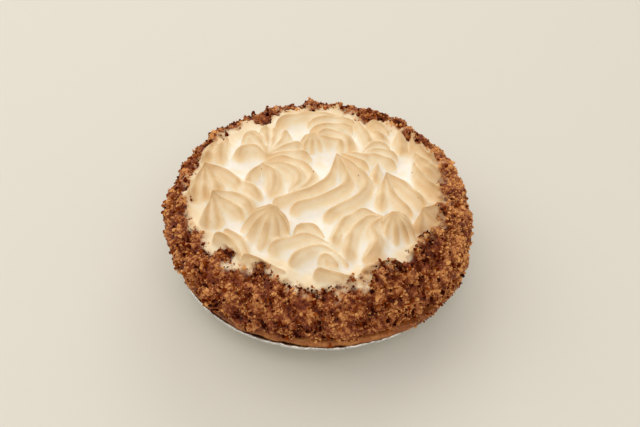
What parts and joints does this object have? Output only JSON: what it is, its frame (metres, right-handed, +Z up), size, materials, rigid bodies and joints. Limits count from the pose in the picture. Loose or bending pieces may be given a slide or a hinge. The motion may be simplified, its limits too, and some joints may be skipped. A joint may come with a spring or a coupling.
{
  "type": "lemon meringue pie",
  "caption": "Whole lemon meringue pie in its foil tin, with a pastry rim, a tall meringue of star-piped swirls and a side coated with toasted cake crumbs.",
  "frame": {"origin": "middle of the tin's underside, on the surface the pie stands on", "axes": "+Z up through the pie, -Y towards the side that faces the viewer, +X to the viewer's right"},
  "size_m": [0.2429, 0.2404, 0.0982],
  "materials": {
    "foil": "thin bright aluminium foil, slightly brushed and crinkled",
    "pastry": "baked shortcrust pastry and toasted cake crumbs, matte and grainy, golden to dark brown",
    "meringue": "soft baked meringue, satin, white in the hollows and pale tan on the ridges"
  },
  "bodies": {
    "root": {"foil_tin": "foil", "pastry_crust": "pastry", "meringue": "meringue"}
  },
  "joints": []
}
